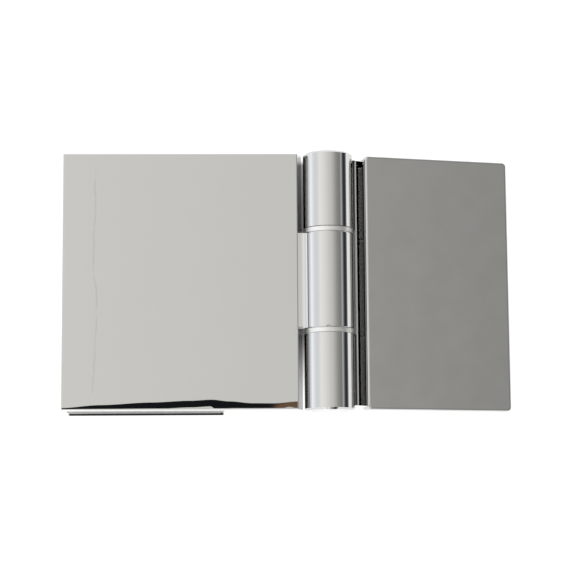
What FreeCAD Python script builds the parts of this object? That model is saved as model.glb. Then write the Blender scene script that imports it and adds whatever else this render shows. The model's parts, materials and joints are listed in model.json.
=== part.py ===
"""Polished glass-door plate hinge: a glass-clamping leaf and a covered wall leaf on one barrel.

The pin lies along Y. The hinge rests on its back with its polished faces up (+Z), the glass leaf on -X and
the wall leaf on +X. The origin is on the resting surface, under the middle of the whole hinge.
Each piece is drawn about the pin: "across" is the distance from the pin over the leaf, "rise" is the height
in front of the pin.
"""
import FreeCAD, Part
import math
import os
import Sketcher

DIMENSIONS = [
    # the whole hinge
    ("leaf_height", 65.0, "height of both leaves, along the pin"),
    ("pin_x", 10.07, "pin's distance from the middle of the whole hinge"),
    ("pin_rise", 12.5, "pin's height above the resting surface"),
    ("rest_droop", 13.0, "angle that the wall leaf hangs below flat, at rest"),
    ("face_rise", 2.8, "front faces of both leaves, in front of the pin"),
    # barrel
    ("barrel_length", 65.6, "all three knuckles, along the pin"),
    ("barrel_diameter", 12.8, "outside of the knuckles"),
    ("centre_knuckle", 24.4, "length of the glass leaf's knuckle"),
    ("end_chamfer", 0.5, "chamfer on the barrel's two ends"),
    ("knuckle_edge", 0.2, "broken edges of the centre knuckle"),
    ("pin_diameter", 6.0, "hinge pin"),
    ("pin_length", 57.6, "hinge pin"),
    ("pin_tip", 0.6, "chamfer on the pin's ends"),
    ("groove_depth", 0.3, "pin's grooves for the set screws"),
    ("groove_floor", 2.6, "width of a groove's floor"),
    ("bush_outside", 8.0, "flanged bush in the centre knuckle"),
    ("bush_bore", 6.1, "flanged bush, a running fit on the pin"),
    ("bush_length", 9.5, "part of the bush inside the knuckle"),
    ("flange_diameter", 12.5, "bush flange that carries the knuckles' thrust"),
    ("flange_thickness", 1.25, "bush flange"),
    ("flange_edge", 0.1, "broken edges of the flange"),
    ("end_play", 0.05, "gap between each flange and the next knuckle"),
    ("cap_diameter", 8.4, "plug that closes the pin's bore"),
    ("cap_length", 3.2, "plug that closes the pin's bore"),
    ("cap_edge", 0.2, "broken edges of the plug"),
    # glass leaf
    ("glass_leaf_outer", 67.2, "outer edge, from the pin"),
    ("glass_leaf_inner", 7.9, "front edge beside the barrel, from the pin"),
    ("lip_inner", 6.8, "lip under that edge, which reaches nearer to the end knuckles"),
    ("plate_thickness", 4.0, "front plate"),
    ("plate_edge", 0.3, "broken front edges of the front plate"),
    ("web_step", 0.3, "web's front face, behind the front plate's face"),
    ("glass_thickness", 6.0, "glass that the leaf clamps"),
    ("gasket_thickness", 1.0, "front and back gaskets"),
    ("gasket_inset", 0.4, "gaskets inside the plates' edges"),
    ("clamp_width", 41.0, "back clamp plate, across the leaf"),
    ("clamp_thickness", 3.3, "back clamp plate"),
    ("clamp_corner", 1.5, "corner radius of the back clamp plate"),
    ("clamp_edge", 0.4, "broken back edges of the clamp plate"),
    ("boss_across", 46.7, "clamp screws, from the pin"),
    ("boss_offset", 17.0, "clamp screws, from the middle of the leaf"),
    ("boss_diameter", 10.0, "threaded bosses behind the front plate"),
    ("boss_gap", 0.5, "travel left between the bosses and the clamp plate"),
    ("sleeve_bore", 10.2, "nylon sleeve round each boss"),
    ("sleeve_outside", 13.0, "nylon sleeve round each boss"),
    ("sleeve_length", 5.9, "nylon sleeve round each boss"),
    ("gasket_hole", 10.6, "holes in the gaskets round the bosses"),
    ("screw_diameter", 6.0, "clamp screws"),
    ("screw_head", 11.0, "countersunk head of the clamp screws"),
    ("screw_head_rim", 0.1, "straight rim of the countersunk head"),
    ("screw_sink", 11.6, "countersink in the clamp plate"),
    ("screw_length", 12.7, "clamp screws, with their heads"),
    ("screw_hole", 6.4, "clamp plate's screw holes"),
    ("screw_tip", 0.7, "chamfer on the clamp screws' tips"),
    ("screw_socket", 4.0, "hexagon socket across its flats"),
    ("screw_socket_depth", 2.4, "hexagon socket"),
    ("screw_thread", 6.1, "threaded holes in the bosses"),
    ("thread_depth", 9.7, "threaded holes in the bosses"),
    # wall leaf
    ("wall_leaf_outer", 46.7, "base plate's outer edge, from the pin"),
    ("wall_leaf_back", 2.0, "base plate's back, behind the pin"),
    ("wall_leaf_inset", 1.1, "base plate inside the cover, at each end"),
    ("neck_near", 6.2, "top of the sloping neck, where it leaves the end knuckles, from the pin"),
    ("neck_near_rise", 1.55, "top of the sloping neck, in front of the pin"),
    ("neck_far", 9.3, "foot of the neck, under the cover's edge, from the pin"),
    ("neck_far_rise", 0.25, "foot of the neck, in front of the pin"),
    ("channel_end", 13.0, "shallow channel from the neck's foot in under the cover, from the pin"),
    ("knuckle_clearance", 0.6, "round the centre knuckle"),
    ("wall_hole_near", 18.0, "first row of wall screws, from the pin"),
    ("wall_hole_pitch", 20.0, "between the rows of wall screws"),
    ("wall_hole_offset", 21.0, "wall screws, from the middle of the leaf"),
    ("wall_hole_diameter", 4.8, "wall screw holes"),
    ("wall_hole_sink", 2.0, "countersinks of the wall screw holes"),
    # wall leaf's cover and its springs
    ("cover_inner", 9.0, "cover's edge beside the barrel, from the pin"),
    ("cover_outer", 47.8, "cover's outer edge, from the pin"),
    ("cover_wall", 0.8, "cover's sheet"),
    ("cover_gap", 0.05, "between the cover's sheet and the base plate"),
    ("cover_skirt", 1.6, "lower edge of the cover's skirt, behind the pin"),
    ("cover_corner", 1.1, "corner radius of the cover"),
    ("cover_round", 0.75, "rounded front edges of the cover"),
    ("spring_middle", 29.0, "middle of the cover springs, from the pin"),
    ("spring_length", 14.0, "cover springs"),
    ("spring_width", 1.4, "cover springs"),
    ("spring_sheet", 0.25, "cover springs"),
    ("spring_seat", 0.8, "depth of the springs' seats in the base plate"),
    ("spring_seat_length", 15.0, "springs' seats"),
    ("spring_seat_width", 1.6, "springs' seats"),
    # set screws that hold the pin
    ("set_screw_diameter", 4.0, "set screws"),
    ("set_screw_length", 3.2, "set screws"),
    ("set_screw_tip_rise", 2.75, "set screws' tips, behind the pin's middle"),
    ("set_screw_cone", 0.9, "cone on the set screws' tips"),
    ("set_screw_edge", 0.3, "chamfer on the set screws' outer ends"),
    ("set_screw_offset", 23.35, "set screws, from the middle of the leaf"),
    ("set_screw_socket", 2.0, "hexagon socket across its flats"),
    ("set_screw_socket_depth", 1.5, "hexagon socket"),
]

FRONT = "Dim.face_rise"
PLATE_BACK = "(Dim.face_rise - Dim.plate_thickness)"
SLOT_FRONT = "(Dim.face_rise - Dim.plate_thickness - Dim.gasket_thickness)"
SLOT_BACK = "(Dim.clamp_thickness + Dim.gasket_thickness - Dim.pin_rise)"
CLAMP_FRONT = "(Dim.clamp_thickness - Dim.pin_rise)"
CLAMP_INNER = "(Dim.clamp_width - Dim.glass_leaf_outer)"
HALF = "(Dim.leaf_height / 2)"
BARREL_END = "(Dim.barrel_length / 2)"
WALL_HALF = "(Dim.leaf_height / 2 - Dim.wall_leaf_inset)"
BARREL = "(Dim.barrel_diameter / 2)"
KNUCKLE_FACE = "(Dim.centre_knuckle / 2)"
END_KNUCKLE_FACE = "(Dim.centre_knuckle / 2 + Dim.flange_thickness + Dim.end_play)"
COVER_INSIDE = "(Dim.face_rise - Dim.cover_wall)"
PLATE_FRONT = "(Dim.face_rise - Dim.cover_wall - Dim.cover_gap)"
SLEEVE_PLAY = "(Dim.glass_thickness - Dim.sleeve_length) / 2"

# How far cuts run past the metal, how far joined shapes overlap, and when two numbers count as equal.
CUT_PAST = 1.0
MERGE = 0.5
NEAR = 1e-4

doc = FreeCAD.newDocument("GlassDoorHinge")
sheet = doc.addObject("Spreadsheet::Sheet", "Dim")
for row, (alias, size, meaning) in enumerate(DIMENSIONS, start=1):
    sheet.set(f"A{row}", meaning)
    sheet.set(f"B{row}", str(size))
    sheet.setAlias(f"B{row}", alias)
doc.recompute()


def value(expression):
    """The number that an expression on the sheet gives now."""
    return float(sheet.evalExpression(str(expression)))


# Sketches and features, bound to the sheet

def new_body(label, on_wall_leaf=False):
    """A body placed on the pin, or on the drooping wall leaf."""
    body = doc.addObject("PartDesign::Body", label)
    body.Label = label
    turn = "Dim.rest_droop" if on_wall_leaf else "0"
    place = f"placement(vector(Dim.pin_x; 0; Dim.pin_rise); rotation(vector(0; 1; 0); {turn}))"
    body.setExpression("Placement", place)
    return body


def origin_plane(body, role):
    return [feature for feature in body.Origin.OriginFeatures if feature.Role == role][0]


def new_sketch(body, name, plane, offset=None):
    """A sketch on one of the body's origin planes, or at an offset along that plane's normal."""
    sketch = body.newObject("Sketcher::SketchObject", name)
    sketch.AttachmentSupport = [(origin_plane(body, plane), "")]
    sketch.MapMode = "FlatFace"
    if offset is not None:
        sketch.setExpression("AttachmentOffset.Base.z", str(offset))
    return sketch


def bind(sketch, kind, *where, to):
    """Add one dimension to a sketch and bind it to the sheet."""
    index = sketch.addConstraint(Sketcher.Constraint(kind, *where, value(to)))
    sketch.setExpression(f"Constraints[{index}]", str(to))


def outline(sketch, corners):
    """A closed outline of straight lines through corners, each given as two expressions."""
    places = [FreeCAD.Vector(value(across), value(up), 0) for across, up in corners]
    lines = []
    for start, end in zip(places, places[1:] + places[:1]):
        lines.append(sketch.addGeometry(Part.LineSegment(start, end), False))
    for line, following in zip(lines, lines[1:] + lines[:1]):
        sketch.addConstraint(Sketcher.Constraint("Coincident", line, 2, following, 1))
    for line, (across, up) in zip(lines, corners):
        bind(sketch, "DistanceX", -1, 1, line, 1, to=across)
        bind(sketch, "DistanceY", -1, 1, line, 1, to=up)


def rectangle(sketch, left, right, low, high):
    outline(sketch, [(left, low), (right, low), (right, high), (left, high)])


def circle(sketch, across, up, diameter):
    centre = FreeCAD.Vector(value(across), value(up), 0)
    ring = sketch.addGeometry(Part.Circle(centre, FreeCAD.Vector(0, 0, 1), value(diameter) / 2), False)
    bind(sketch, "DistanceX", -1, 1, ring, 3, to=across)
    bind(sketch, "DistanceY", -1, 1, ring, 3, to=up)
    bind(sketch, "Diameter", ring, to=diameter)


def circle_pair(sketch, across, offset, diameter):
    """Two equal circles, above and below the hinge's middle plane."""
    for side in ("", "-"):
        circle(sketch, across, f"{side}{offset}", diameter)


def pad(body, sketch, length, symmetric=False):
    feature = body.newObject("PartDesign::Pad", "Pad")
    feature.Profile = sketch
    feature.SideType = "Symmetric" if symmetric else "One side"
    feature.setExpression("Length", str(length))
    doc.recompute()
    return feature


def pocket(body, sketch, length, symmetric=False, reverse=False):
    """Cut a sketch out of the body, against its normal unless reversed, and check that something went."""
    before = body.Shape.Volume
    feature = body.newObject("PartDesign::Pocket", "Pocket")
    feature.Profile = sketch
    feature.SideType = "Symmetric" if symmetric else "One side"
    feature.Reversed = reverse
    feature.setExpression("Length", str(length))
    doc.recompute()
    if body.Shape.Volume > before - NEAR:
        raise RuntimeError(f"{body.Label}: {sketch.Label} cuts nothing")


def revolve(body, sketch):
    """Turn a profile right round its sketch's upright axis."""
    feature = body.newObject("PartDesign::Revolution", "Revolution")
    feature.Profile = sketch
    feature.ReferenceAxis = (sketch, ["V_Axis"])
    feature.Angle = 360
    doc.recompute()
    return feature


def dress(body, kind, size, wanted):
    """Chamfer or fillet the edges that a test picks out. Edges are tested in the body's own frame."""
    base = body.Tip
    names = [f"Edge{number}" for number, edge in enumerate(base.Shape.Edges, start=1) if wanted(edge)]
    if not names:
        raise RuntimeError(f"{body.Label}: no edge to dress")
    feature = body.newObject(f"PartDesign::{kind}", kind)
    feature.Base = (base, names)
    feature.setExpression("Size" if kind == "Chamfer" else "Radius", str(size))
    doc.recompute()
    return feature


def level(number, expression):
    """Whether a coordinate is at the place that an expression gives."""
    return abs(number - value(expression)) < NEAR


def flat_rim_at(rise):
    """A test for edges that lie flat at one height."""
    def wanted(edge):
        box = edge.BoundBox
        return level(box.ZMin, rise) and level(box.ZMax, rise)
    return wanted


def round_rim(diameter, face):
    """A test for round edges of one diameter whose plane crosses the pin at a face, on either side."""
    def wanted(edge):
        box = edge.BoundBox
        on_face = level(abs(box.YMin), face) and level(abs(box.YMax), face)
        return on_face and isinstance(edge.Curve, Part.Circle) and level(2 * edge.Curve.Radius, diameter)
    return wanted


def hexagon_socket(body, flats, depth, mouth):
    """Sink a hexagon socket into +Z from its mouth."""
    before = body.Shape.Volume
    prism = body.newObject("PartDesign::SubtractivePrism", "Socket")
    prism.Polygon = 6
    prism.setExpression("Circumradius", f"{flats} / (2 * cos(30 deg))")
    prism.setExpression("Height", depth)
    prism.setExpression("AttachmentOffset.Base.z", mouth)
    prism.AttachmentSupport = [(origin_plane(body, "XY_Plane"), "")]
    prism.MapMode = "FlatFace"
    doc.recompute()
    if body.Shape.Volume > before - NEAR:
        raise RuntimeError(f"{body.Label}: its socket cuts nothing")


def mirrored(source, label):
    """The same piece on the other side of the hinge's middle plane."""
    copy = doc.addObject("Part::Mirroring", label)
    copy.Label = label
    copy.Source = source
    copy.Base = FreeCAD.Vector(0, 0, 0)
    copy.Normal = FreeCAD.Vector(0, 1, 0)
    return copy


def pair(source, label):
    """Two identical fasteners, above and below the hinge's middle plane, as one named group."""
    group = doc.addObject("Part::Compound", label)
    group.Label = label
    group.Links = [source, mirrored(source, f"{source.Label}_below")]
    return group


# Glass leaf

def make_glass_leaf():
    """Front plate with its lip, web, centre knuckle and two threaded bosses, cast in one."""
    body = new_body("glass_leaf")
    plate = new_sketch(body, "PlateOutline", "XY_Plane", PLATE_BACK)
    rectangle(plate, "-Dim.glass_leaf_outer", "-Dim.glass_leaf_inner", f"-{HALF}", HALF)
    pad(body, plate, "Dim.plate_thickness")
    dress(body, "Chamfer", "Dim.plate_edge", flat_rim_at(FRONT))

    lip = new_sketch(body, "LipSection", "XZ_Plane")
    outline(lip, [
        (f"-Dim.glass_leaf_inner - {MERGE}", PLATE_BACK),
        ("-Dim.lip_inner", PLATE_BACK),
        ("-Dim.lip_inner", "0"),
        ("-Dim.glass_leaf_inner", f"{FRONT} - 2 * Dim.plate_edge"),
        (f"-Dim.glass_leaf_inner - {MERGE}", f"{FRONT} - 2 * Dim.plate_edge"),
    ])
    pad(body, lip, "Dim.leaf_height", symmetric=True)

    web = new_sketch(body, "WebSection", "XZ_Plane")
    web_front = f"{FRONT} - Dim.web_step"
    rectangle(web, f"-Dim.glass_leaf_inner - {MERGE}", f"-{BARREL} / 2", PLATE_BACK, web_front)
    pad(body, web, "Dim.centre_knuckle", symmetric=True)
    knuckle = new_sketch(body, "KnuckleSection", "XZ_Plane")
    circle(knuckle, "0", "0", "Dim.barrel_diameter")
    pad(body, knuckle, "Dim.centre_knuckle", symmetric=True)

    boss_back = f"({CLAMP_FRONT} + Dim.boss_gap)"
    bosses = new_sketch(body, "Bosses", "XY_Plane", boss_back)
    circle_pair(bosses, "-Dim.boss_across", "Dim.boss_offset", "Dim.boss_diameter")
    pad(body, bosses, f"{PLATE_BACK} - {boss_back}")
    threads = new_sketch(body, "Threads", "XY_Plane", boss_back)
    circle_pair(threads, "-Dim.boss_across", "Dim.boss_offset", "Dim.screw_thread")
    pocket(body, threads, "Dim.thread_depth", reverse=True)

    bore = new_sketch(body, "BushBore", "XZ_Plane")
    circle(bore, "0", "0", "Dim.bush_outside")
    pocket(body, bore, f"Dim.centre_knuckle + {CUT_PAST}", symmetric=True)
    dress(body, "Chamfer", "Dim.knuckle_edge", round_rim("Dim.barrel_diameter", KNUCKLE_FACE))
    return body


def make_gasket(label, back):
    """A flat gasket that lines the glass slot, with holes for the two bosses."""
    body = new_body(label)
    sheet_outline = new_sketch(body, "Outline", "XY_Plane", back)
    rectangle(sheet_outline, "Dim.gasket_inset - Dim.glass_leaf_outer", f"{CLAMP_INNER} - Dim.gasket_inset",
              f"Dim.gasket_inset - {HALF}", f"{HALF} - Dim.gasket_inset")
    circle_pair(sheet_outline, "-Dim.boss_across", "Dim.boss_offset", "Dim.gasket_hole")
    pad(body, sheet_outline, "Dim.gasket_thickness")
    return body


def make_back_clamp_plate():
    """Plate behind the glass, drawn up by two countersunk screws."""
    body = new_body("back_clamp_plate")
    back = "-Dim.pin_rise"
    plate = new_sketch(body, "Outline", "XY_Plane", back)
    rectangle(plate, "-Dim.glass_leaf_outer", CLAMP_INNER, f"-{HALF}", HALF)
    pad(body, plate, "Dim.clamp_thickness")
    dress(body, "Fillet", "Dim.clamp_corner", lambda edge: edge.BoundBox.ZLength > CUT_PAST)
    dress(body, "Chamfer", "Dim.clamp_edge", flat_rim_at(back))
    holes = new_sketch(body, "ScrewHoles", "XY_Plane", back)
    circle_pair(holes, "-Dim.boss_across", "Dim.boss_offset", "Dim.screw_hole")
    pocket(body, holes, "Dim.clamp_thickness", reverse=True)

    def hole_rim(edge):
        box = edge.BoundBox
        return level(box.XLength, "Dim.screw_hole") and level(box.ZMax, back)
    dress(body, "Chamfer", "(Dim.screw_sink - Dim.screw_hole) / 2", hole_rim)
    return body


def make_clamp_screw():
    """Countersunk screw that enters from the back, turned about its own length."""
    body = new_body("clamp_screw")
    spot = "vector(Dim.pin_x - Dim.boss_across; Dim.boss_offset; 0)"
    body.setExpression("Placement", f"placement({spot}; rotation(vector(0; 0; 1); 0))")
    half_turn = new_sketch(body, "Profile", "XZ_Plane")
    head_depth = "(Dim.screw_head_rim + (Dim.screw_head - Dim.screw_diameter) / 2)"
    outline(half_turn, [
        ("0", "0"),
        ("Dim.screw_head / 2", "0"),
        ("Dim.screw_head / 2", "Dim.screw_head_rim"),
        ("Dim.screw_diameter / 2", head_depth),
        ("Dim.screw_diameter / 2", "Dim.screw_length - Dim.screw_tip"),
        ("Dim.screw_diameter / 2 - Dim.screw_tip", "Dim.screw_length"),
        ("0", "Dim.screw_length"),
    ])
    revolve(body, half_turn)
    hexagon_socket(body, "Dim.screw_socket", "Dim.screw_socket_depth", "0")
    return body


def make_glass_sleeve():
    """Nylon sleeve that keeps the glass off a boss."""
    body = new_body("upper_glass_sleeve")
    ring = new_sketch(body, "Ring", "XY_Plane", f"{SLOT_BACK} + {SLEEVE_PLAY}")
    circle(ring, "-Dim.boss_across", "Dim.boss_offset", "Dim.sleeve_outside")
    circle(ring, "-Dim.boss_across", "Dim.boss_offset", "Dim.sleeve_bore")
    pad(body, ring, "Dim.sleeve_length")
    return body


# Barrel

def make_bush():
    """Flanged bush, pressed into the centre knuckle. Its flange is the thrust washer."""
    body = new_body("upper_bush")
    half_turn = new_sketch(body, "Profile", "XY_Plane")
    flange_top = f"{KNUCKLE_FACE} + Dim.flange_thickness"
    outline(half_turn, [
        ("Dim.bush_bore / 2", f"{KNUCKLE_FACE} - Dim.bush_length"),
        ("Dim.bush_outside / 2", f"{KNUCKLE_FACE} - Dim.bush_length"),
        ("Dim.bush_outside / 2", KNUCKLE_FACE),
        ("Dim.flange_diameter / 2 - Dim.flange_edge", KNUCKLE_FACE),
        ("Dim.flange_diameter / 2", f"{KNUCKLE_FACE} + Dim.flange_edge"),
        ("Dim.flange_diameter / 2", f"{flange_top} - Dim.flange_edge"),
        ("Dim.flange_diameter / 2 - Dim.flange_edge", flange_top),
        ("Dim.bush_bore / 2", flange_top),
    ])
    revolve(body, half_turn)
    return body


def make_hinge_pin():
    """Plain pin with chamfered ends and two grooves for the set screws' tips."""
    body = new_body("hinge_pin", on_wall_leaf=True)
    half_turn = new_sketch(body, "Profile", "XY_Plane")
    radius = "Dim.pin_diameter / 2"
    floor_radius = f"{radius} - Dim.groove_depth"
    floor_half = "Dim.groove_floor / 2"
    mouth_half = "(Dim.groove_floor / 2 + Dim.groove_depth)"
    corners = [
        ("0", "-Dim.pin_length / 2"),
        (f"{radius} - Dim.pin_tip", "-Dim.pin_length / 2"),
        (radius, "-Dim.pin_length / 2 + Dim.pin_tip"),
    ]
    for middle in ("-Dim.set_screw_offset", "Dim.set_screw_offset"):
        corners += [
            (radius, f"{middle} - {mouth_half}"),
            (floor_radius, f"{middle} - {floor_half}"),
            (floor_radius, f"{middle} + {floor_half}"),
            (radius, f"{middle} + {mouth_half}"),
        ]
    corners += [
        (radius, "Dim.pin_length / 2 - Dim.pin_tip"),
        (f"{radius} - Dim.pin_tip", "Dim.pin_length / 2"),
        ("0", "Dim.pin_length / 2"),
    ]
    outline(half_turn, corners)
    revolve(body, half_turn)
    return body


def make_end_cap():
    """Plug that closes the bore over the pin's end, flush with the barrel's end."""
    body = new_body("upper_end_cap", on_wall_leaf=True)
    half_turn = new_sketch(body, "Profile", "XY_Plane")
    radius = "Dim.cap_diameter / 2"
    foot = f"({BARREL_END} - Dim.cap_length)"
    outline(half_turn, [
        ("0", foot),
        (f"{radius} - Dim.cap_edge", foot),
        (radius, f"{foot} + Dim.cap_edge"),
        (radius, f"{BARREL_END} - Dim.cap_edge"),
        (f"{radius} - Dim.cap_edge", BARREL_END),
        ("0", BARREL_END),
    ])
    revolve(body, half_turn)
    return body


def make_set_screw():
    """Socket set screw behind an end knuckle, with its tip in the pin's groove."""
    body = new_body("pin_set_screw", on_wall_leaf=True)
    spot = "vector(Dim.pin_x; Dim.set_screw_offset; Dim.pin_rise)"
    body.setExpression("Placement", f"placement({spot}; rotation(vector(0; 1; 0); Dim.rest_droop))")
    half_turn = new_sketch(body, "Profile", "XZ_Plane")
    radius = "Dim.set_screw_diameter / 2"
    tip = "-Dim.set_screw_tip_rise"
    outer = "(-Dim.set_screw_tip_rise - Dim.set_screw_length)"
    outline(half_turn, [
        ("0", outer),
        (f"{radius} - Dim.set_screw_edge", outer),
        (radius, f"{outer} + Dim.set_screw_edge"),
        (radius, f"{tip} - Dim.set_screw_cone"),
        (f"{radius} - Dim.set_screw_cone", tip),
        ("0", tip),
    ])
    revolve(body, half_turn)
    hexagon_socket(body, "Dim.set_screw_socket", "Dim.set_screw_socket_depth", outer)
    return body


# Wall leaf

def make_wall_leaf():
    """Base plate with a knuckle at each end, and a sloping neck and channel beside the barrel."""
    body = new_body("wall_leaf", on_wall_leaf=True)
    plate = new_sketch(body, "PlateSection", "XZ_Plane")
    outline(plate, [
        (f"{BARREL} / 2", "-Dim.wall_leaf_back"),
        ("Dim.wall_leaf_outer", "-Dim.wall_leaf_back"),
        ("Dim.wall_leaf_outer", PLATE_FRONT),
        ("Dim.channel_end", PLATE_FRONT),
        ("Dim.channel_end", "Dim.neck_far_rise"),
        ("Dim.neck_far", "Dim.neck_far_rise"),
        ("Dim.neck_near", "Dim.neck_near_rise"),
        (f"{BARREL} / 2", "Dim.neck_near_rise"),
    ])
    pad(body, plate, f"2 * {WALL_HALF}", symmetric=True)

    for side in ("", "-"):
        knuckle = new_sketch(body, "KnuckleSection", "XZ_Plane", f"{side}{BARREL_END}")
        circle(knuckle, "0", "0", "Dim.barrel_diameter")
        feature = pad(body, knuckle, f"{BARREL_END} - {END_KNUCKLE_FACE}")
        feature.Reversed = side == ""
        doc.recompute()

    middle = new_sketch(body, "CentreKnuckleRoom", "XZ_Plane")
    circle(middle, "0", "0", "Dim.barrel_diameter + 2 * Dim.knuckle_clearance")
    pocket(body, middle, f"2 * {END_KNUCKLE_FACE}", symmetric=True)
    bore = new_sketch(body, "PinBore", "XZ_Plane")
    circle(bore, "0", "0", "Dim.pin_diameter")
    pocket(body, bore, f"Dim.barrel_length + {CUT_PAST}", symmetric=True)
    for side in ("", "-"):
        seat = new_sketch(body, "CapSeat", "XZ_Plane", f"{side}{BARREL_END}")
        circle(seat, "0", "0", "Dim.cap_diameter")
        pocket(body, seat, "Dim.cap_length", reverse=side == "-")
    threads = new_sketch(body, "SetScrewThreads", "XY_Plane")
    circle_pair(threads, "0", "Dim.set_screw_offset", "Dim.set_screw_diameter")
    pocket(body, threads, f"{BARREL} + {CUT_PAST}")

    holes = new_sketch(body, "WallScrewHoles", "XY_Plane", PLATE_FRONT)
    for across in ("Dim.wall_hole_near", "(Dim.wall_hole_near + Dim.wall_hole_pitch)"):
        circle_pair(holes, across, "Dim.wall_hole_offset", "Dim.wall_hole_diameter")
    pocket(body, holes, f"{PLATE_FRONT} + Dim.wall_leaf_back + {CUT_PAST}")

    def hole_rim(edge):
        box = edge.BoundBox
        return level(box.XLength, "Dim.wall_hole_diameter") and level(box.ZMin, PLATE_FRONT)
    dress(body, "Chamfer", "Dim.wall_hole_sink", hole_rim)

    seats = new_sketch(body, "SpringSeats", "XY_Plane", "-Dim.spring_seat_width / 2")
    for side in ("", "-"):
        rectangle(seats, "Dim.spring_middle - Dim.spring_seat_length / 2",
                  "Dim.spring_middle + Dim.spring_seat_length / 2",
                  f"{side}({WALL_HALF} - Dim.spring_seat)", f"{side}({WALL_HALF} + {CUT_PAST})")
    pocket(body, seats, "Dim.spring_seat_width", reverse=True)
    dress(body, "Chamfer", "Dim.end_chamfer", round_rim("Dim.barrel_diameter", BARREL_END))
    return body


def make_wall_cover():
    """Sheet cover with a skirt on three sides, which hides the wall screws."""
    body = new_body("wall_cover", on_wall_leaf=True)
    block = new_sketch(body, "Outside", "XY_Plane", "-Dim.cover_skirt")
    rectangle(block, "Dim.cover_inner", "Dim.cover_outer", f"-{HALF}", HALF)
    pad(body, block, f"{FRONT} + Dim.cover_skirt")
    dress(body, "Fillet", "Dim.cover_corner", lambda edge: edge.BoundBox.ZLength > CUT_PAST)
    dress(body, "Fillet", "Dim.cover_round", flat_rim_at(FRONT))
    room = new_sketch(body, "Inside", "XY_Plane", "-Dim.cover_skirt")
    rectangle(room, f"Dim.cover_inner - {CUT_PAST}", "Dim.cover_outer - Dim.cover_wall",
              f"Dim.cover_wall - {HALF}", f"{HALF} - Dim.cover_wall")
    pocket(body, room, f"{COVER_INSIDE} + Dim.cover_skirt", reverse=True)
    return body


def make_cover_spring():
    """Bowed strip in the base plate's edge that grips the cover's skirt."""
    body = new_body("upper_cover_spring", on_wall_leaf=True)
    strip = new_sketch(body, "Strip", "XY_Plane", "-Dim.spring_width / 2")
    seat = f"({WALL_HALF} - Dim.spring_seat)"
    crown = f"({HALF} - Dim.cover_wall - Dim.spring_sheet)"
    sixths = [(-3, seat), (-2, seat), (-1, crown), (1, crown), (2, seat), (3, seat)]
    inner = [(f"Dim.spring_middle + Dim.spring_length * {sixth} / 6", height) for sixth, height in sixths]
    outer = [(across, f"{height} + Dim.spring_sheet") for across, height in inner]
    outline(strip, inner + outer[::-1])
    pad(body, strip, "Dim.spring_width")
    return body


glass_leaf = make_glass_leaf()
front_gasket = make_gasket("front_gasket", SLOT_FRONT)
back_gasket = make_gasket("back_gasket", CLAMP_FRONT)
back_clamp_plate = make_back_clamp_plate()
clamp_screws = pair(make_clamp_screw(), "clamp_screws")
upper_glass_sleeve = make_glass_sleeve()
lower_glass_sleeve = mirrored(upper_glass_sleeve, "lower_glass_sleeve")
upper_bush = make_bush()
lower_bush = mirrored(upper_bush, "lower_bush")
wall_leaf = make_wall_leaf()
wall_cover = make_wall_cover()
upper_cover_spring = make_cover_spring()
lower_cover_spring = mirrored(upper_cover_spring, "lower_cover_spring")
hinge_pin = make_hinge_pin()
upper_end_cap = make_end_cap()
lower_end_cap = mirrored(upper_end_cap, "lower_end_cap")
pin_set_screws = pair(make_set_screw(), "pin_set_screws")

SUB_PARTS = [
    glass_leaf, front_gasket, back_gasket, back_clamp_plate, clamp_screws, upper_glass_sleeve,
    lower_glass_sleeve, upper_bush, lower_bush, wall_leaf, wall_cover, upper_cover_spring,
    lower_cover_spring, hinge_pin, upper_end_cap, lower_end_cap, pin_set_screws,
]

doc.recompute()
for item in doc.Objects:
    if "Invalid" in item.State or "Error" in item.State:
        raise RuntimeError(f"{item.Label} did not build: {item.State}")
for item in SUB_PARTS:
    if item.Shape.isNull() or not item.Shape.isValid():
        raise RuntimeError(f"{item.Label} has no valid shape")

os.makedirs("parts", exist_ok=True)
for item in SUB_PARTS:
    item.Shape.exportStep(os.path.join("parts", f"{item.Label}.step"))
    print(item.Label, len(item.Shape.Solids), round(item.Shape.Volume, 1))
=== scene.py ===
import json
import math

import bmesh
import bpy
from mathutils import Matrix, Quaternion, Vector


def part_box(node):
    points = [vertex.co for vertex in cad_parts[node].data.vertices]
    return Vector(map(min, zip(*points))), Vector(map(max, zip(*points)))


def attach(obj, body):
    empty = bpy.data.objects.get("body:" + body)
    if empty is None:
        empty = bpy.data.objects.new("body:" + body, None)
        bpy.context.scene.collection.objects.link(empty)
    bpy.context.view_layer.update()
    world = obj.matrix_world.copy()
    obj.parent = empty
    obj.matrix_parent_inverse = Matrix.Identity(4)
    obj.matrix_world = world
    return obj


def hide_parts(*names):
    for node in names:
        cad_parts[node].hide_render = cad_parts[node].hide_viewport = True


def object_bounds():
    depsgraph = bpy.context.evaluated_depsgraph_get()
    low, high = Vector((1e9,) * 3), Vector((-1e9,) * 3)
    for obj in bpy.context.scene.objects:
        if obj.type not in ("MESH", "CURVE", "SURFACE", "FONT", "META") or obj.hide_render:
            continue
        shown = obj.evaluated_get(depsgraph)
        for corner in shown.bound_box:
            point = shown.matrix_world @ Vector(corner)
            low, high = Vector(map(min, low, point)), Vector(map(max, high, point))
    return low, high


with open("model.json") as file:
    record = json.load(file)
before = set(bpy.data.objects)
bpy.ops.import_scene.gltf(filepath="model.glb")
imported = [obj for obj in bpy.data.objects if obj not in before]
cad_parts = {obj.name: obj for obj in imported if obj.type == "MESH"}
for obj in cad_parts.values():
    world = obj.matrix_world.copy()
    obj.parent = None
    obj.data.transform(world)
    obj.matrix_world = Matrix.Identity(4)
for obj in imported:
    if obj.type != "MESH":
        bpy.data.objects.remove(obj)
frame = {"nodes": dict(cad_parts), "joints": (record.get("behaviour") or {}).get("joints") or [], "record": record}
cad_low, cad_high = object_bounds()

MM = 0.001  # every length below is in millimetres, and is turned into metres by this

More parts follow.
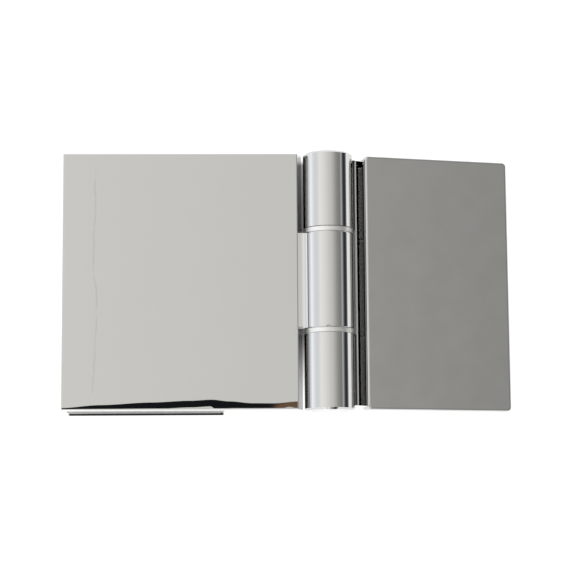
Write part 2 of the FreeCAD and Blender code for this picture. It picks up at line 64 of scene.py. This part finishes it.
# The hinge's own places, in the row frame
pin_place = Vector(frame["joints"][0]["pos_m"]) / MM
AXIS_X, AXIS_Z = pin_place.x, pin_place.z  # middle of the pin, which runs along Y
BARREL_RADIUS = 6.398  # a hair inside the end knuckles, so that no mesh piece grows the model
leaf_low, leaf_high = (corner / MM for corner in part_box("glass_leaf"))
LEAF_LEFT, LEAF_BOTTOM, LEAF_TOP = leaf_low.x, leaf_low.y, leaf_high.y
LEAF_INNER = 7.9  # front edge of the plate beside the barrel, from the pin
LEAF_RIGHT = AXIS_X - LEAF_INNER
LEAF_LIP = 1.1  # how much nearer to the barrel the plate's lip reaches than its front edge
PLATE_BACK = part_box("front_gasket")[1].z / MM
PLATE_THICKNESS = 4.0
PLATE_FRONT = PLATE_BACK + PLATE_THICKNESS


# ---------------------------------------------------------------- mesh tools


def add_piece(name, vertices, faces, body, material, sharp_angle=30):
    """A closed mesh piece from vertices in millimetres, riding on a body of the hinge."""
    mesh = bpy.data.meshes.new(name)
    mesh.from_pydata([Vector(v) * MM for v in vertices], [], faces)
    shape = bmesh.new()
    shape.from_mesh(mesh)
    bmesh.ops.recalc_face_normals(shape, faces=shape.faces)
    shape.to_mesh(mesh)
    shape.free()
    mesh.polygons.foreach_set("use_smooth", [True] * len(mesh.polygons))
    mesh.set_sharp_from_angle(angle=math.radians(sharp_angle))
    mesh.materials.append(material)
    piece = bpy.data.objects.new(name, mesh)
    bpy.context.scene.collection.objects.link(piece)
    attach(piece, body)
    return piece


def ring_skin(rings):
    """Vertices and faces of a closed skin over rings of points, the last ring joined to the first."""
    count = len(rings[0])
    vertices = [point for ring in rings for point in ring]
    faces = []
    for i in range(len(rings)):
        here, there = i * count, (i + 1) % len(rings) * count
        for j in range(count):
            k = (j + 1) % count
            faces.append((here + j, here + k, there + k, there + j))
    return vertices, faces


def arc(centre_x, centre_y, radius, start, stop, steps):
    """Points on an arc from start to stop degrees, both ends included."""
    points = []
    for i in range(steps + 1):
        angle = math.radians(start + (stop - start) * i / steps)
        points.append((centre_x + radius * math.cos(angle), centre_y + radius * math.sin(angle)))
    return points


def smooth(share):
    """0 to 1 with a soft start and stop."""
    share = min(max(share, 0.0), 1.0)
    return share * share * (3 - 2 * share)


# ---------------------------------------------------------------- node tools


def add_node(tree, kind, inputs=None, **settings):
    """A shader node with its settings, and inputs that are values or other nodes' outputs."""
    node = tree.nodes.new("ShaderNode" + kind)
    for name, value in settings.items():
        setattr(node, name, value)
    for name, value in (inputs or {}).items():
        if isinstance(value, bpy.types.NodeSocket):
            tree.links.new(value, node.inputs[name])
        else:
            node.inputs[name].default_value = value
    return node


def maths(tree, operation, first, second=0.0, third=0.0):
    """The result of one Math node."""
    node = add_node(tree, "Math", {0: first, 1: second, 2: third}, operation=operation)
    return node.outputs[0]


def stepped(tree, value, low, high, low_result=0.0, high_result=1.0):
    """A smooth step of value between low and high."""
    inputs = {
        "Value": value,
        "From Min": low,
        "From Max": high,
        "To Min": low_result,
        "To Max": high_result,
    }
    return add_node(tree, "MapRange", inputs, interpolation_type="SMOOTHSTEP").outputs["Result"]


def noise(tree, place, scale, detail=2.0, stretch=(1, 1, 1)):
    """Noise of about one feature per 1/scale metres, from 0 to 1."""
    spot = add_node(tree, "Mapping", {"Vector": place, "Scale": stretch}).outputs["Vector"]
    return add_node(tree, "TexNoise", {"Vector": spot, "Scale": scale, "Detail": detail}).outputs["Fac"]


def mixed(tree, share, first, second):
    """A colour between two colours."""
    node = add_node(tree, "Mix", {"Factor": share}, data_type="RGBA")
    for name, colour in (("A", first), ("B", second)):
        socket = [s for s in node.inputs if s.name == name and s.type == "RGBA"][0]
        if isinstance(colour, bpy.types.NodeSocket):
            tree.links.new(colour, socket)
        else:
            socket.default_value = (*colour, 1.0)
    return [s for s in node.outputs if s.type == "RGBA"][0]


def new_material(name):
    """An empty node material: its tree, its shader and the object's own coordinates in metres."""
    material = bpy.data.materials.new(name)
    material.use_nodes = True
    tree = material.node_tree
    tree.nodes.clear()
    output = add_node(tree, "OutputMaterial")
    shader = add_node(tree, "BsdfPrincipled")
    tree.links.new(shader.outputs["BSDF"], output.inputs["Surface"])
    place = add_node(tree, "TexCoord").outputs["Object"]
    return material, tree, shader, place


def feed(tree, shader, name, socket):
    """Link a node's output to one of the shader's inputs."""
    tree.links.new(socket, shader.inputs[name])


def add_bump(tree, shader, height):
    """Bump from a height in metres."""
    bump = add_node(tree, "Bump", {"Height": height, "Strength": 1.0, "Distance": 1.0})
    feed(tree, shader, "Normal", bump.outputs["Normal"])


# ---------------------------------------------------------------- materials

HAIRLINE_INSET = 8.2  # mean distance of the scratch from the leaf's left edge
HAIRLINE_SWAY = 4.0  # how far it could wander across, at the noise's extremes
HAIRLINE_HALF = 29.0  # how far it runs each way along the leaf
DUST_SCALE = 130.0  # cells per metre, of which some hold a speck
DUST_SPECK = (0.016, 0.03)  # a speck's full and outer radius, as shares of a cell


def dust_specks(tree, place, share_of_cells):
    """1 on a few tiny specks of dust, and 0 between them."""
    cell = add_node(tree, "TexVoronoi", {"Vector": place, "Scale": DUST_SCALE})
    near = stepped(tree, cell.outputs["Distance"], *DUST_SPECK, 1.0, 0.0)
    chosen = add_node(tree, "SeparateColor", {"Color": cell.outputs["Color"]}).outputs["Red"]
    return maths(tree, "MULTIPLY", near, maths(tree, "LESS_THAN", chosen, share_of_cells))


def hairline(tree, place):
    """1 on one faint wavy scratch that runs along Y, and 0 beside it."""
    spot = add_node(tree, "SeparateXYZ", {"Vector": place})
    along = add_node(tree, "CombineXYZ", {"Y": spot.outputs["Y"]}).outputs["Vector"]
    wave = maths(tree, "SUBTRACT", noise(tree, along, 45.0, 3.0), 0.5)
    path_x = maths(tree, "MULTIPLY_ADD", wave, HAIRLINE_SWAY * MM, (LEAF_LEFT + HAIRLINE_INSET) * MM)
    away = maths(tree, "ABSOLUTE", maths(tree, "SUBTRACT", spot.outputs["X"], path_x))
    ends = maths(tree, "ABSOLUTE", spot.outputs["Y"])
    inside = stepped(tree, ends, (HAIRLINE_HALF - 2) * MM, HAIRLINE_HALF * MM, 1.0, 0.0)
    faded = stepped(tree, noise(tree, along, 160.0, 1.0), 0.3, 0.55)
    line = stepped(tree, away, 0.08 * MM, 0.34 * MM, 1.0, 0.0)
    return maths(tree, "MULTIPLY", maths(tree, "MULTIPLY", line, inside), faded)


def chrome_material(name, colour, haze, roughness, peel, dust, scratched=False, cloud_scale=90.0):
    """Mirror-polished chrome plate: a faint haze, buffing marks, slight orange peel and some dust."""
    material, tree, shader, place = new_material(name)
    shader.inputs["Metallic"].default_value = 1.0
    cloud = noise(tree, place, cloud_scale, 4.0)
    dimmed = tuple(c * (1 - haze) for c in colour)
    plated = mixed(tree, cloud, dimmed, tuple(c * (1 + haze) for c in colour))
    if scratched:
        plated = mixed(tree, hairline(tree, place), plated, tuple(c * 0.90 for c in colour))
    specks = dust_specks(tree, place, dust)
    feed(tree, shader, "Base Color", mixed(tree, specks, plated, (0.95, 0.95, 0.93)))
    buffed = noise(tree, place, 900.0, 3.0, (0.06, 1.0, 1.0))
    rough = stepped(tree, buffed, 0.25, 0.75, roughness * 0.75, roughness * 1.25)
    feed(tree, shader, "Roughness", maths(tree, "MAXIMUM", rough, maths(tree, "MULTIPLY", specks, 0.6)))
    ripple = maths(tree, "MULTIPLY", noise(tree, place, 260.0, 1.0), peel)
    marks = maths(tree, "MULTIPLY", buffed, 4e-7)
    add_bump(tree, shader, maths(tree, "ADD", ripple, marks))
    return material


def plain_material(name, colour, shade, roughness, grain_scale, grain_height, metallic=0.0):
    """A moulded, rubbery or machined surface: a soft change of colour and a fine grain."""
    material, tree, shader, place = new_material(name)
    shader.inputs["Metallic"].default_value = metallic
    cloud = noise(tree, place, 220.0, 3.0)
    darker = tuple(c * (1 - shade) for c in colour)
    feed(tree, shader, "Base Color", mixed(tree, cloud, darker, colour))
    grain = noise(tree, place, grain_scale, 4.0)
    feed(tree, shader, "Roughness", stepped(tree, grain, 0.2, 0.8, roughness * 0.8, roughness * 1.2))
    add_bump(tree, shader, maths(tree, "MULTIPLY", grain, grain_height))
    return material


def make_materials():
    """The record's slots by name, and a scratched chrome for the front plate."""
    return {
        "polished_chrome": chrome_material(
            "polished_chrome", (0.60, 0.60, 0.597), 0.01, 0.035, 1.6e-6, 0.08
        ),
        "plate_chrome": chrome_material(
            "plate_chrome", (0.60, 0.60, 0.597), 0.01, 0.035, 6e-7, 0.05, scratched=True
        ),
        "cover_chrome": chrome_material(
            "cover_chrome", (0.555, 0.555, 0.552), 0.07, 0.06, 1e-6, 0.12, cloud_scale=150.0
        ),
        "clear_gasket": plain_material("clear_gasket", (0.80, 0.81, 0.80), 0.12, 0.42, 1500, 6e-6),
        "white_nylon": plain_material("white_nylon", (0.86, 0.86, 0.83), 0.06, 0.38, 2500, 4e-6),
        "stainless_steel": plain_material(
            "stainless_steel", (0.55, 0.545, 0.53), 0.12, 0.24, 3000, 1.5e-6, 1.0
        ),
        "satin_steel": plain_material("satin_steel", (0.87, 0.86, 0.84), 0.05, 0.46, 2200, 1e-6, 1.0),
        "black_steel": plain_material("black_steel", (0.05, 0.05, 0.055), 0.3, 0.4, 3500, 3e-6, 0.8),
    }


# ---------------------------------------------------------------- glass leaf

EDGE_ROUND = 0.25  # radius of the polished plate's edges
LIP_TOP = PLATE_FRONT - 0.8
ROLL_BEND = 0.124  # how fast the rolled lower edge turns down, in slope per millimetre
# Distance from the leaf's left edge, and how far up from the lower edge the polishing wheel has rolled it
ROLL_STATIONS = (
    (0.0, 0.7),
    (9.9, 1.4),
    (22.4, 2.0),
    (32.4, 2.4),
    (37.5, 2.65),
    (41.9, 2.2),
    (47.9, 1.7),
    (52.9, 1.65),
    (59.3, 2.1),
)
FLAT_NICK = (39.9, 1.3, 0.16)  # middle, half width and steepest slope of a flatter place in the roll


def roll_height(along):
    """How far up from the lower edge the rolled part reaches, at a distance from the left edge."""
    for (x0, h0), (x1, h1) in zip(ROLL_STATIONS, ROLL_STATIONS[1:]):
        if along <= x1:
            return h0 + (h1 - h0) * smooth((along - x0) / (x1 - x0))
    return ROLL_STATIONS[-1][1]


def roll_slope(along, from_edge):
    """How steeply the plate's face falls away at a place, in height per length."""
    slope = ROLL_BEND * max(roll_height(along) - from_edge, 0)
    middle, half_width, steepest = FLAT_NICK
    within = 1 - smooth((abs(along - middle) - half_width) / half_width)
    return slope + (min(slope, steepest) - slope) * within


def edge_steps(radius, steps=4):
    """Insets and drops of a rounded edge, from the side of the plate inwards."""
    angles = [math.pi / 2 * i / steps for i in range(steps + 1)]
    return [(radius * (1 - math.cos(a)), radius * (1 - math.sin(a))) for a in angles]


def spread(start, stop, count):
    """Evenly spaced numbers from start to stop, both included."""
    return [start + (stop - start) * i / count for i in range(count + 1)]


def plate_stations(low, high, inner):
    """Places across the plate with the drop of the rounded edge at each: both edges and inner places."""
    edge = edge_steps(EDGE_ROUND)
    stations = [(low + inset, drop) for inset, drop in edge]
    stations += [(place, 0.0) for place in inner]
    stations += [(high - inset, drop) for inset, drop in reversed(edge)]
    return stations


def make_front_plate(material):
    """The polished plate: a fine grid for its face, with the rolled edge, and walls with the lip."""
    support = EDGE_ROUND + 0.06
    across = spread(LEAF_LEFT + support, LEAF_RIGHT - support, 150)
    rolled = spread(LEAF_BOTTOM + support, LEAF_BOTTOM + 3.0, 36)
    flat = spread(LEAF_BOTTOM + 4.0, LEAF_TOP - 1.0, 24) + [LEAF_TOP - support]
    columns = plate_stations(LEAF_LEFT, LEAF_RIGHT, across)
    rows = plate_stations(LEAF_BOTTOM, LEAF_TOP, rolled + flat)
    vertices = []
    for x, x_drop in columns:
        depth, heights, last = 0.0, [], LEAF_TOP
        for y, y_drop in reversed(rows):
            middle = (y + last) / 2 - LEAF_BOTTOM
            depth += roll_slope(x - LEAF_LEFT, middle) * (last - y)
            heights.append((x, y, PLATE_FRONT - depth - max(x_drop, y_drop)))
            last = y
        vertices += reversed(heights)
    wide, high = len(columns), len(rows)
    faces = []
    for i in range(wide - 1):
        for j in range(high - 1):
            a = i * high + j
            faces.append((a, a + high, a + high + 1, a + 1))
    rim = [i * high for i in range(wide)]
    rim += [(wide - 1) * high + j for j in range(1, high)]
    rim += [i * high + high - 1 for i in range(wide - 2, -1, -1)]
    rim += list(range(high - 2, 0, -1))
    edge = [vertices[r][:2] for r in rim]
    above = rim
    for z, lip in ((LIP_TOP, 0.0), (AXIS_Z, LEAF_LIP), (PLATE_BACK, LEAF_LIP)):
        first = len(vertices)
        vertices += [(x + lip if x == columns[-1][0] else x, y, z) for x, y in edge]
        below = list(range(first, len(vertices)))
        for i in range(len(rim)):
            k = (i + 1) % len(rim)
            faces.append((above[i], above[k], below[k], below[i]))
        above = below
    faces.append(tuple(above))
    return add_piece("front_plate", vertices, faces, "glass_side", material)


WEB_TOP = PLATE_FRONT - 0.3
WEB_BACK = PLATE_BACK + 0.05
WEB_FILLET = 2.0
WEB_START = LEAF_RIGHT - 0.5
CENTRE_KNUCKLE_HALF = 12.2
BUSH_SEAT_RADIUS = 4.2
KNUCKLE_EDGE = 0.3


def knuckle_outline(inset):
    """Section of the centre knuckle with its web: round barrel, fillet on the front, corner at the back."""
    radius = BARREL_RADIUS - inset
    web_top, web_back = WEB_TOP - inset, WEB_BACK + inset
    fillet = WEB_FILLET + inset
    corner = math.degrees(math.asin((web_back - AXIS_Z) / radius))
    rise = web_top + fillet - AXIS_Z
    run = math.sqrt((radius + fillet) ** 2 - rise**2)
    touch = math.degrees(math.atan2(rise, run))
    barrel = arc(AXIS_X, AXIS_Z, radius, -180 - corner, 180 - touch, 90)
    blend = arc(AXIS_X - run, web_top + fillet, fillet, -touch, -90, 14)
    web_end = [(x, web_top) for x in spread(AXIS_X - run, WEB_START, 3)[1:]]
    web_end += [(WEB_START, (web_top + web_back) / 2), (WEB_START, web_back)]
    meeting = barrel[0][0]
    web_end += [((WEB_START + meeting) / 2, web_back)]
    return barrel + blend[1:] + web_end


def make_centre_knuckle(material):
    """The glass leaf's knuckle with its web, hollow for the bushes."""
    rings = []
    for inset, drop in edge_steps(KNUCKLE_EDGE):
        rings.append([(x, -CENTRE_KNUCKLE_HALF + inset, z) for x, z in knuckle_outline(drop)])
    for y in spread(-CENTRE_KNUCKLE_HALF + 0.5, CENTRE_KNUCKLE_HALF - 0.5, 8):
        rings.append([(x, y, z) for x, z in knuckle_outline(0.0)])
    for inset, drop in reversed(edge_steps(KNUCKLE_EDGE)):
        rings.append([(x, CENTRE_KNUCKLE_HALF - inset, z) for x, z in knuckle_outline(drop)])
    bore = []
    for x, z in knuckle_outline(0.0):
        angle = math.atan2(z - AXIS_Z, x - AXIS_X)
        across, up = BUSH_SEAT_RADIUS * math.cos(angle), BUSH_SEAT_RADIUS * math.sin(angle)
        bore.append((AXIS_X + across, AXIS_Z + up))
    rings.append([(x, CENTRE_KNUCKLE_HALF, z) for x, z in bore])
    rings.append([(x, -CENTRE_KNUCKLE_HALF, z) for x, z in bore])
    vertices, faces = ring_skin(rings)
    return add_piece("centre_knuckle", vertices, faces, "glass_side", material)


BOSS_ACROSS, BOSS_Y = 46.7, 17.0  # from the pin, and from the middle of the leaf
BOSS_X = AXIS_X - BOSS_ACROSS
BOSS_RADIUS, BOSS_BORE = 5.0, 3.05
BOSS_LENGTH = 7.5


def make_boss(name, middle_y, material):
    """A threaded boss behind the plate, which a clamp screw pulls on."""
    back = PLATE_BACK - BOSS_LENGTH
    section = [(BOSS_RADIUS, PLATE_BACK + 0.2), (BOSS_RADIUS, back + 0.4), (BOSS_RADIUS - 0.4, back)]
    section += [(BOSS_BORE + 0.4, back), (BOSS_BORE, back + 0.4)]
    section += [(BOSS_BORE, PLATE_BACK - 0.4), (BOSS_BORE, PLATE_BACK + 0.2)]
    rings = []
    for turn in range(64):
        angle = 2 * math.pi * turn / 64
        ring = []
        for radius, z in section:
            ring.append((BOSS_X + radius * math.cos(angle), middle_y + radius * math.sin(angle), z))
        rings.append(ring)
    vertices, faces = ring_skin(rings)
    return add_piece(name, vertices, faces, "glass_side", material)


# ---------------------------------------------------------------- studio

CAMERA_VIEW = {"azimuth": -14.0, "elevation": 81.5, "roll": 13.72, "distance": 483.0, "lens": 118.36}
AIM_FROM_PIN = (-9.838, -0.817, 0.0)  # the point in the middle of the picture
# Directions round the barrel, in degrees from overhead towards +X, with how bright the studio is there
STUDIO_BANDS = (
    (-180, 1.30),
    (-100, 1.50),
    (-86, 1.42),
    (-70, 1.08),
    (-56, 1.05),
    (-41, 1.24),
    (-22, 1.12),
    (-8, 1.00),
    (2, 0.89),
    (10, 0.84),
    (18, 0.72),
    (27, 0.57),
    (36, 0.42),
    (46, 0.34),
    (54, 0.30),
    (60, 0.66),
    (64, 0.40),
    (69, 0.12),
    (74, 0.04),
    (82, 0.05),
    (89, 0.30),
    (97, 1.20),
    (180, 1.30),
)
BACKDROP_WHITE = 1.05
FLOOR_HALF, FLOOR_DROP, FLOOR_GLOW = 2000, 0.05, 0.85  # half its side, depth below the hinge, and light
CARD_HEIGHT = 600.0
# The contact shade under the glass leaf and the barrel: on each side, where it starts and where it is full
SHADE_SIDES = (
    ("X", LEAF_LEFT + 6, LEAF_LEFT + 10),
    ("X", AXIS_X + BARREL_RADIUS - 2, AXIS_X + BARREL_RADIUS - 6),
    ("Y", LEAF_BOTTOM + 2, LEAF_BOTTOM + 22),
    ("Y", LEAF_TOP + 2, LEAF_TOP),
)
clamp_low, clamp_high = (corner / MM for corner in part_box("back_clamp_plate"))
# The painted contact shadow: a thin dark line painted on the floor where the clamp plate's -Y edge stands on it
CONTACT_SHADOW_SIDES = (
    ("X", clamp_low.x + 0.4, clamp_low.x + 1.2),
    ("X", clamp_high.x - 0.2, clamp_high.x - 0.8),
    ("Y", clamp_low.y - 0.34, clamp_low.y - 0.2),
    ("Y", clamp_low.y + 0.8, clamp_low.y + 0.5),
)
WARM, COOL = (1.0, 0.99, 0.95), (0.965, 0.99, 1.03)  # light from overhead, and light from the sides
WARM_SPAN = (-50, 60)


def make_world():
    """A soft white studio whose brightness falls in broad bands towards a dark flag on the +X side."""
    world = bpy.data.worlds.new("studio")
    bpy.context.scene.world = world
    world.use_nodes = True
    tree = world.node_tree
    tree.nodes.clear()
    way = add_node(tree, "SeparateXYZ", {"Vector": add_node(tree, "TexCoord").outputs["Generated"]})
    angle = maths(tree, "ARCTAN2", way.outputs["X"], way.outputs["Z"])
    place = maths(tree, "MULTIPLY_ADD", angle, 0.5 / math.pi, 0.5)
    ramp = add_node(tree, "ValToRGB", {"Fac": place})
    stops = ramp.color_ramp.elements
    while len(stops) < len(STUDIO_BANDS):
        stops.new(0.5)
    for stop, (degrees, _) in zip(stops, STUDIO_BANDS):
        stop.position = degrees / 360 + 0.5
    for stop, (degrees, bright) in zip(stops, STUDIO_BANDS):
        tint = WARM if WARM_SPAN[0] < degrees < WARM_SPAN[1] else COOL
        stop.color = (*(bright * share for share in tint), 1.0)
    seen = add_node(tree, "LightPath").outputs["Is Camera Ray"]
    white = (BACKDROP_WHITE,) * 3
    light = add_node(tree, "Background", {"Color": mixed(tree, seen, ramp.outputs["Color"], white)})
    output = add_node(tree, "OutputWorld")
    tree.links.new(light.outputs["Background"], output.inputs["Surface"])


def shaded_within(tree, place, sides):
    """1 inside a soft-edged rectangle, whose sides each give where shade starts and where it is full."""
    spot = add_node(tree, "SeparateXYZ", {"Vector": place})
    shaded = 1.0
    for name, light, dark in sides:
        side = stepped(tree, spot.outputs[name], light * MM, dark * MM)
        shaded = maths(tree, "MULTIPLY", side, shaded)
    return shaded


def add_sheet(name, corners, height):
    """A flat level sheet for the stage, with an empty node material: the sheet, its tree and output."""
    mesh = bpy.data.meshes.new(name)
    mesh.from_pydata([Vector((x, y, height)) * MM for x, y in corners], [], [(0, 1, 2, 3)])
    sheet = bpy.data.objects.new(name, mesh)
    bpy.context.scene.collection.objects.link(sheet)
    material = bpy.data.materials.new(name)
    material.use_nodes = True
    tree = material.node_tree
    tree.nodes.clear()
    mesh.materials.append(material)
    return sheet, tree, add_node(tree, "OutputMaterial")


def make_floor():
    """A pale floor, glowing to read as a white table, with painted shade under the pieces that stay put and a
    painted contact shadow along the clamp plate's -Y edge.
    """
    size = FLOOR_HALF
    corners = [(-size, -size), (size, -size), (size, size), (-size, size)]
    floor, tree, output = add_sheet("studio_floor", corners, cad_low.z / MM - FLOOR_DROP)
    place = add_node(tree, "TexCoord").outputs["Object"]
    pale = mixed(tree, noise(tree, place, 3.0), (0.48, 0.48, 0.48), (0.52, 0.52, 0.52))
    # Painted shade: the floor's glow goes out under the glass leaf and the barrel
    under_leaf = shaded_within(tree, place, SHADE_SIDES)
    # Painted shadow: the floor turns almost black and stops glowing in a thin line along the clamp plate's -Y edge
    contact_shadow = shaded_within(tree, place, CONTACT_SHADOW_SIDES)
    pale = mixed(tree, contact_shadow, pale, (0.04, 0.04, 0.045))
    open_floor = maths(tree, "SUBTRACT", 1.0, maths(tree, "MAXIMUM", under_leaf, contact_shadow))
    strength = maths(tree, "MULTIPLY", open_floor, FLOOR_GLOW)
    diffuse = add_node(tree, "BsdfDiffuse", {"Color": pale})
    glow = add_node(tree, "Emission", {"Color": (1, 1, 1, 1), "Strength": strength})
    both = add_node(tree, "AddShader", {0: diffuse.outputs[0], 1: glow.outputs[0]})
    tree.links.new(both.outputs[0], output.inputs["Surface"])


def make_dark_card():
    """A dark card overhead, which the rolled lower edge of the leaf mirrors towards the camera."""
    corners = [(-170, -260), (42, -260), (42, -10), (-170, -10)]
    card, tree, output = add_sheet("dark_card", corners, CARD_HEIGHT)
    place = add_node(tree, "TexCoord").outputs["Object"]
    across = add_node(tree, "SeparateXYZ", {"Vector": place}).outputs["X"]
    side = stepped(tree, across, 0.006, 0.028)
    colour = mixed(tree, side, (0.011, 0.012, 0.014), (0.20, 0.12, 0.07))
    glow = add_node(tree, "Emission", {"Color": colour, "Strength": 1.0})
    tree.links.new(glow.outputs[0], output.inputs["Surface"])
    card.visible_camera = False
    card.visible_shadow = False


def make_camera():
    """A long lens almost straight above the front faces, turned a little on its axis."""
    azimuth, elevation = (math.radians(CAMERA_VIEW[k]) for k in ("azimuth", "elevation"))
    back = Vector(
        (
            math.sin(azimuth) * math.cos(elevation),
            -math.cos(azimuth) * math.cos(elevation),
            math.sin(elevation),
        )
    )
    aim = (pin_place + Vector(AIM_FROM_PIN)) * MM
    lens = bpy.data.cameras.new("camera")
    lens.lens = CAMERA_VIEW["lens"]
    lens.sensor_width = 36.0
    camera = bpy.data.objects.new("camera", lens)
    bpy.context.scene.collection.objects.link(camera)
    camera.location = aim + back * CAMERA_VIEW["distance"] * MM
    turn = Quaternion((0, 0, 1), math.radians(CAMERA_VIEW["roll"]))
    camera.rotation_mode = "QUATERNION"
    camera.rotation_quaternion = (-back).to_track_quat("-Z", "Y") @ turn
    bpy.context.scene.camera = camera


# ---------------------------------------------------------------- the scene


def paint_frame(materials):
    """Each CAD node takes the material of the slot that the record gives it."""
    for row in frame["record"]["subparts"]:
        node = frame["nodes"][row["node"]]
        for i in range(len(node.data.materials)):
            node.data.materials[i] = materials[row["material_slot"]]


materials = make_materials()
paint_frame(materials)
front_plate = make_front_plate(materials["plate_chrome"])
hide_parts("glass_leaf")
make_centre_knuckle(materials["polished_chrome"])
for boss_name, side in (("upper_boss", 1), ("lower_boss", -1)):
    make_boss(boss_name, side * BOSS_Y, materials["polished_chrome"])
make_world()
make_floor()
make_dark_card()
make_camera()
bpy.context.scene.view_settings.view_transform = "Standard"
